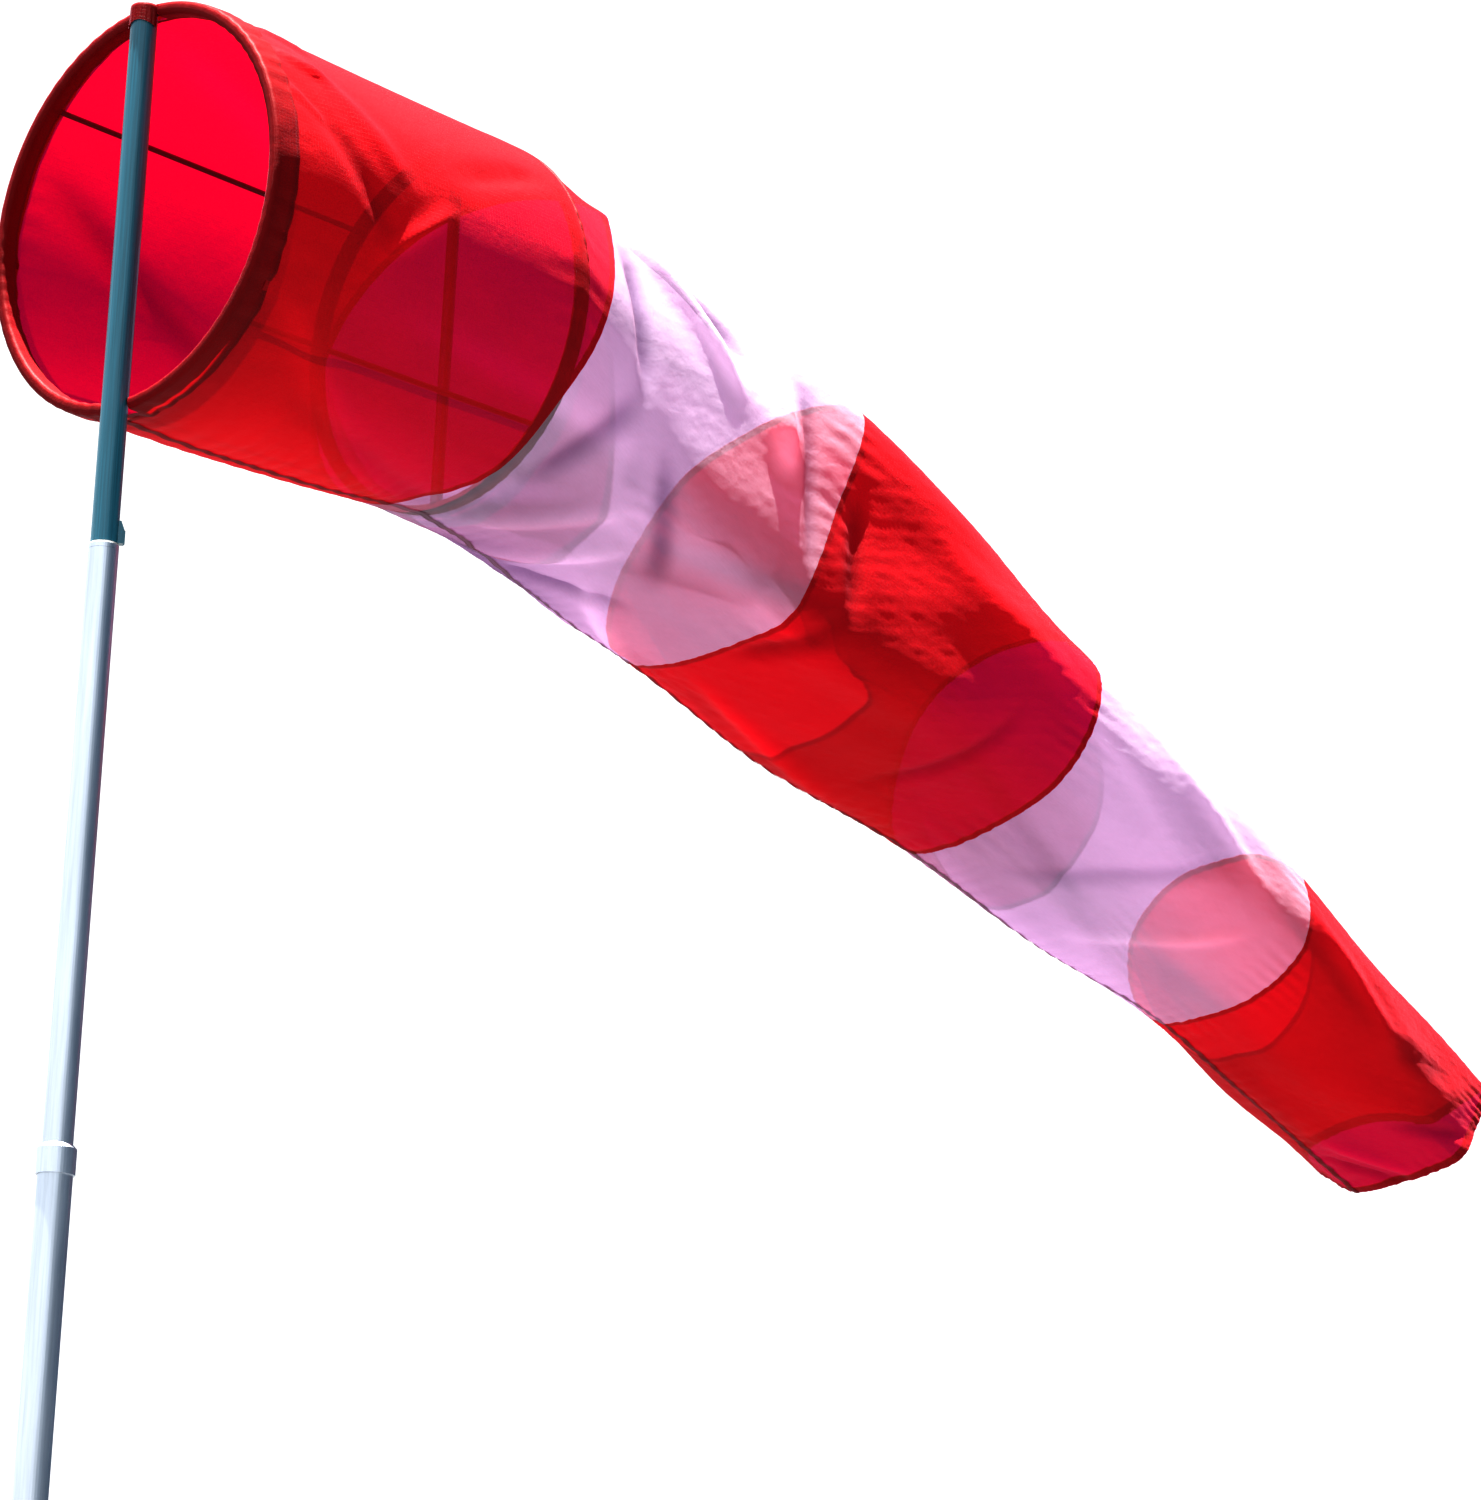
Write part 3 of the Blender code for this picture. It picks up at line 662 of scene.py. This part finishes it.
def make_long_seam(band, colour, start, end):
    """The lengthwise seam's strip under one band."""
    around = np.array([-2, -1, 0, 1, 2])
    rows = rows_between(start, end, ROWS)
    points = on_sock(rows, CLOTH_GAP)[:, around % COLUMNS]
    middle = points[:, 2:3]
    width = np.linalg.norm(points[:, 4:] - points[:, :1], axis=2, keepdims=True)
    points = middle + (points - middle) * LONG_SEAM / width
    along = np.repeat(rows[:, :1] * BAND_LENGTH, len(around), axis=1)
    across = np.broadcast_to(around * LONG_SEAM / 4, along.shape)
    uv = np.stack([along, across], axis=-1)
    material = cloth_for(colour)(f"long_seam_{band}", (-0.005, 0.005), 2)
    piece = grid_piece(f"long_seam_{band}_{colour}", points, uv, material, closed=False)
    bend(piece)
    return piece


def make_tail_hem():
    rows = rows_between(level(5 - TAIL_HEM / BAND_LENGTH), level(5), 6)
    material = red_cloth("tail_hem", (0.003, 0.016), 2)
    piece = grid_piece("cloth_tail_hem", on_sock(rows, -CLOTH_GAP), strip_uv(rows, rows[0]), material)
    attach(piece, "sock_band_5")
    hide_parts("tail_hem")
    return piece


def distance_along(first, second):
    """How far each point of a profile is from its first one, measured along it."""
    steps = np.hypot(np.diff(first, prepend=first[0]), np.diff(second, prepend=second[0]))
    return np.cumsum(steps)


def hem_profile():
    """The hem's section as (distance behind its front, distance from the hoop's axis).

    It runs forwards on the outside, over the front of the hoop's wire, and back on the inside.
    """
    outer = MOUTH_RADIUS
    inner = HOOP_OUTSIDE - HOOP_WIRE - CLOTH_GAP * 1.5
    turn = np.linspace(0, math.pi / 2, 5)
    sine, cosine = HEM_ROUND * np.sin(turn), HEM_ROUND * np.cos(turn)
    outside = np.linspace(HEM_OUTER, HEM_ROUND, 9)
    inside = np.linspace(HEM_ROUND, HEM_INNER, 7)[1:]
    depth = np.concatenate([outside, HEM_ROUND - sine[1:], HEM_ROUND - cosine, inside])
    radius = np.concatenate([np.full(len(outside), outer), outer - HEM_ROUND + cosine[1:],
                             inner + HEM_ROUND - sine, np.full(len(inside), inner)])
    return depth, radius


def hem_faces(points):
    """Which faces of the hem are made. Those where the swivel tube goes through it are not."""
    front, side, height = points[..., 0], np.abs(points[..., 1]), points[..., 2]
    in_tube = (side < TUBE_RADIUS + TUBE_SIDE_GAP) & (front < TUBE_RADIUS + TUBE_BACK_GAP)
    under_top = in_tube & (height > LEVEL) & (height < TUBE_TOP + TUBE_TOP_GAP)
    blocked = under_top | (in_tube & (height < LEVEL))
    corner = blocked | np.roll(blocked, -1, axis=1)
    return ~(corner[:-1] | corner[1:])


def make_mouth_hem():
    """The hem that wraps the front hoop."""
    depth, radius = hem_profile()
    angle = math.tau * (np.arange(HEM_COLUMNS) + 0.5) / HEM_COLUMNS
    around = (angle / math.tau - SEAM_ANGLE / 360) % 1
    # The hem is tight over the wire and gathers a little towards its sewn edges.
    puff = 0.0016 * ripple(around, 0.0, 41, 3) + 0.0012 * ripple(around, 0.0, 17, 5)
    sway = 0.0012 * ripple(around, 0.5, 29, 2)
    crinkle = 0.0006 * ripple(around, 1.0, 70, 7)
    loose = np.clip((depth - 0.004) / 0.03, 0, 1)[:, None]
    reach = radius[:, None] + puff * loose + crinkle
    points = np.stack([HEM_FRONT + depth[:, None] + sway * loose, reach * np.cos(angle),
                       LEVEL + reach * np.sin(angle)], axis=-1)
    run = distance_along(depth, radius)
    turns = np.arange(HEM_COLUMNS + 1) / HEM_COLUMNS * math.tau * MOUTH_RADIUS
    uv = np.stack(np.broadcast_arrays(turns[None, :], run[:, None]), axis=-1)
    material = red_cloth("mouth_hem", (0.004, run[-1] - 0.003), 3)
    piece = grid_piece("cloth_mouth_hem", points, uv, material, keep=hem_faces(points))
    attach(piece, "vane")
    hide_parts("mouth_hem")
    return piece


def tab_profile():
    """The tab's section as (height over the tube's top, distance from its axis)."""
    hanging = np.linspace(-TAB_DROP, -0.003, 10)
    over_edge = ((-0.001, 0.0010), (0.0008, -0.0010), (0.0014, -0.0070), (0.0016, -0.0160))
    rise, outward = np.array(over_edge).T
    height = np.concatenate([hanging, rise])
    reach = TUBE_RADIUS + np.concatenate([np.full(len(hanging), TAB_GAP), outward])
    return height, reach


def make_hem_tab():
    """The end of the hem that folds down over the top of the swivel tube."""
    turn = np.radians(np.linspace(*TAB_TURN, 49))
    height, reach = tab_profile()
    loose = np.clip(-height[:, None] / TAB_DROP, 0, 1)
    sag = 0.004 * np.sin(turn * 2.0 + 0.6) * loose
    wave = 0.0010 * np.sin(turn * 9) * loose
    out = reach[:, None] + np.abs(wave)
    points = np.stack([out * np.cos(turn), out * np.sin(turn), TUBE_TOP + height[:, None] + sag],
                      axis=-1)
    run = distance_along(height, reach)
    uv = np.stack(np.broadcast_arrays(turn * TUBE_RADIUS, run[:, None]), axis=-1)
    material = red_cloth("hem_tab", (0.004,), 2)
    piece = grid_piece("hem_tab", points, uv, material, closed=False)
    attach(piece, "vane")
    return piece


def make_hoop_pocket():
    """The sleeve sewn inside the sock that holds the rear hoop."""
    inside = REAR_OUTSIDE - HOOP_WIRE - CLOTH_GAP
    skin = REAR_OUTSIDE + CLOTH_GAP
    # Its section as (distance downwind of the hoop, distance from the hoop's axis).
    profile = ((-0.015, skin + 0.0012), (-0.011, skin - 0.002), (-0.008, inside + 0.004),
               (-0.006, inside + 0.0006), (0.0, inside), (0.006, inside + 0.0006),
               (0.008, inside + 0.004), (0.011, skin - 0.002), (0.015, skin - 0.0012))
    downwind, radius = np.array(profile).T
    angle = math.radians(SEAM_ANGLE) + math.tau * AROUND
    crinkle = 0.0008 * ripple(AROUND, 0.3, 60, 4)
    reach = radius[:, None] + crinkle
    places = (REAR_CENTRE[0] + downwind[:, None], reach * np.cos(angle),
              REAR_CENTRE[2] + reach * np.sin(angle))
    points = np.stack(np.broadcast_arrays(*places), axis=-1)
    turns = LOOP * math.tau * REAR_OUTSIDE
    uv = np.stack(np.broadcast_arrays(turns, downwind[:, None]), axis=-1)
    material = red_cloth("hoop_pocket", (-0.012, 0.012), 2)
    piece = grid_piece("rear_hoop_pocket", points, uv, material)
    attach(piece, "vane")
    return piece


def make_sock():
    edges = [level(FRONT_EDGE), first_seam(), level(2), level(3), level(4), level(5)]
    for number, colour in enumerate(("red", "white", "red", "white", "red"), 1):
        start, end = edges[number - 1], edges[number]
        band = make_band(number, colour, start, end)
        make_long_seam(number, colour, start, end)
        if number < 5:
            make_seam(number, end)
    make_tail_hem()
    make_mouth_hem()
    make_hem_tab()
    make_hoop_pocket()


# ---------------------------------------------------------------- metals and plastics

def metal(name, colour, rough, streak=(30, 30, 1.2), metallic=1.0, coat=0.0, wear=0.12):
    """Drawn or coated metal with faint lengthwise streaks, specks and soft stains."""
    look = Nodes(name)
    place = look.add("ShaderNodeTexCoord").outputs["Object"]
    drawn = look.noise(look.stretched(place, streak), 6.0, 4.0)
    stain = look.noise(place, 9.0, 5.0, 0.6)
    speck = look.noise(place, 260.0, 2.0)
    shade = look.ramp(drawn, 0.3, 0.7, rgba(colour, 1 - wear), rgba(colour, 1 + wear * 0.5))
    shade = look.mix(look.math("MULTIPLY", stain, wear), shade, rgba(colour, 0.6))
    look.feed(look.shader.inputs["Base Color"], shade)
    roughness = look.math("ADD", rough - 0.06, look.math("MULTIPLY", stain, 0.12))
    roughness = look.math("ADD", roughness, look.math("MULTIPLY", speck, 0.05))
    look.feed(look.shader.inputs["Roughness"], roughness)
    height = look.math("ADD", look.math("MULTIPLY", drawn, 0.6), look.math("MULTIPLY", speck, 0.4))
    look.feed(look.shader.inputs["Normal"], look.bump(height, 0.25, 0.0003))
    look.shader.inputs["Metallic"].default_value = metallic
    look.shader.inputs["Coat Weight"].default_value = coat
    look.shader.inputs["Coat Roughness"].default_value = 0.12
    return look.material


def plastic(name, colour, rough):
    """Moulded plastic with a fine grain."""
    look = Nodes(name)
    place = look.add("ShaderNodeTexCoord").outputs["Object"]
    grain = look.noise(place, 700.0, 3.0)
    cloud = look.noise(place, 14.0, 3.0)
    shade = look.ramp(cloud, 0.3, 0.7, rgba(colour, 0.9), rgba(colour, 1.1))
    look.feed(look.shader.inputs["Base Color"], shade)
    roughness = look.math("ADD", rough, look.math("MULTIPLY", grain, 0.15))
    look.feed(look.shader.inputs["Roughness"], roughness)
    look.feed(look.shader.inputs["Normal"], look.bump(grain, 0.3, 0.0002))
    return look.material


def dress_hard_parts():
    mast = metal("mast_aluminium", (0.80, 0.86, 0.93), 0.36)
    paint = metal("teal_enamel", (0.024, 0.170, 0.240), 0.34, (60, 60, 1), 0.0, 0.7, 0.34)
    zinc = metal("zinc_plated_steel", (0.40, 0.41, 0.43), 0.42, (12, 12, 12))
    bright = metal("stainless_steel", (0.62, 0.62, 0.62), 0.25, (20, 20, 20))
    wire = metal("dark_hoop_steel", (0.13, 0.012, 0.018), 0.45, (14, 14, 14), 0.3)
    black = plastic("black_plastic", (0.025, 0.025, 0.027), 0.45)
    nylon = plastic("white_nylon", (0.70, 0.69, 0.65), 0.40)
    dressing = {
        mast: ("mast_lower_tube", "mast_upper_tube", "mast_head_plug"),
        paint: ("swivel_tube", "retainer_lug"),
        wire: ("front_hoop", "rear_hoop", "far_side_rod", "near_side_rod"),
        zinc: ("rear_hoop_strut", "retainer_screw", "hoop_screw_top", "hoop_screw_bottom"),
        bright: ("spindle",),
        black: ("mast_foot_plug",),
        nylon: ("thrust_washer", "lower_bush", "upper_bush"),
    }
    for material, names in dressing.items():
        for name in names:
            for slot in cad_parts[name].material_slots:
                slot.material = material


# ---------------------------------------------------------------- stage, light and camera

FLOOR_COLOURS = ((0.064, 0.064, 0.066, 1), (0.072, 0.072, 0.072, 1))
FLOOR_HALF_SIZE = 40.0
# The sky's colours from its dark side to its bright side, by a place from 0 to 1, and how bright
# the camera sees it.
SKY_STOPS = ((0.16, (0.07, 0.13, 0.20)), (0.38, (0.30, 0.38, 0.46)), (0.56, (1.15, 1.20, 1.28)))
BRIGHT_SIDE = (-0.92, 0.36, -0.10)
SEEN_SKY = 1.3
SUN_FROM = (-0.06, 0.02, 0.98)
SUN_STRENGTH = 38.0
SUN_WIDTH = 0.6
CAMERA_HEADING = 44.41
CAMERA_RISE = 14.37
CAMERA_ROLL = 2.832
# Where the camera stands: from the mast's axis at the height of the mouth's centre.
CAMERA_FROM_MOUTH = (-5.0439, -6.1841, -2.7704)
LENS = 144.0
SENSOR = 36.0
FARTHEST_SEEN = 200.0
EXPOSURE = -0.10
GAMMA = 0.70


def make_floor():
    look = Nodes("pale_floor")
    place = look.add("ShaderNodeTexCoord").outputs["Object"]
    shade = look.ramp(look.noise(place, 0.8), 0.3, 0.7, *FLOOR_COLOURS)
    look.feed(look.shader.inputs["Base Color"], shade)
    look.shader.inputs["Roughness"].default_value = 0.9
    size = FLOOR_HALF_SIZE
    mesh = bpy.data.meshes.new("floor")
    corners = [(-size, -size, 0), (size, -size, 0), (size, size, 0), (-size, size, 0)]
    mesh.from_pydata(corners, [], [(0, 1, 2, 3)])
    mesh.materials.append(look.material)
    link("floor", mesh)


def make_sky():
    """A pale sky. Its light is brighter on the upwind side, and the camera sees it plain white."""
    world = bpy.data.worlds.new("sky")
    bpy.context.scene.world = world
    world.use_nodes = True
    tree = world.node_tree
    back = tree.nodes["Background"]
    place = tree.nodes.new("ShaderNodeTexCoord")
    facing = tree.nodes.new("ShaderNodeVectorMath")
    facing.operation = "DOT_PRODUCT"
    tree.links.new(place.outputs["Generated"], facing.inputs[0])
    facing.inputs[1].default_value = BRIGHT_SIDE
    ramp = tree.nodes.new("ShaderNodeValToRGB")
    shift = tree.nodes.new("ShaderNodeMapRange")
    shift.inputs["From Min"].default_value = -1.0
    tree.links.new(facing.outputs["Value"], shift.inputs["Value"])
    tree.links.new(shift.outputs[0], ramp.inputs[0])
    ramp.color_ramp.elements.new(0.5)
    for stop, (position, colour) in zip(ramp.color_ramp.elements, SKY_STOPS):
        stop.position = position
        stop.color = (*colour, 1)
    seen = tree.nodes.new("ShaderNodeLightPath")
    pick = tree.nodes.new("ShaderNodeMix")
    pick.data_type = "RGBA"
    tree.links.new(seen.outputs["Is Camera Ray"], pick.inputs[0])
    tree.links.new(ramp.outputs[0], pick.inputs[6])
    pick.inputs[7].default_value = (SEEN_SKY, SEEN_SKY, SEEN_SKY, 1)
    tree.links.new(pick.outputs[2], back.inputs["Color"])
    back.inputs["Strength"].default_value = 1.0


def make_sun():
    sun = bpy.data.lights.new("sun", "SUN")
    sun.energy = SUN_STRENGTH
    sun.angle = math.radians(SUN_WIDTH)
    sun.color = (1.0, 0.97, 0.93)
    lamp = link("sun", sun)
    lamp.rotation_mode = "QUATERNION"
    lamp.rotation_quaternion = Vector(SUN_FROM).to_track_quat("Z", "Y")


def make_camera():
    camera = link("camera", bpy.data.cameras.new("camera"))
    camera.data.lens = LENS
    camera.data.sensor_width = SENSOR
    camera.data.clip_end = FARTHEST_SEEN
    heading, rise = math.radians(CAMERA_HEADING), math.radians(CAMERA_RISE)
    forward = Vector((math.cos(heading) * math.cos(rise), math.sin(heading) * math.cos(rise),
                      math.sin(rise)))
    turn = forward.to_track_quat("-Z", "Y").to_matrix().to_4x4()
    roll = Matrix.Rotation(math.radians(CAMERA_ROLL), 4, "Z")
    place = Matrix.Translation(Vector(CAMERA_FROM_MOUTH) + Vector((0, 0, LEVEL)))
    camera.matrix_world = place @ turn @ roll
    bpy.context.scene.camera = camera


def set_view():
    view = bpy.context.scene.view_settings
    view.view_transform = "Standard"
    view.exposure = EXPOSURE
    view.gamma = GAMMA


make_sock()
dress_hard_parts()
make_floor()
make_sky()
make_sun()
make_camera()
set_view()
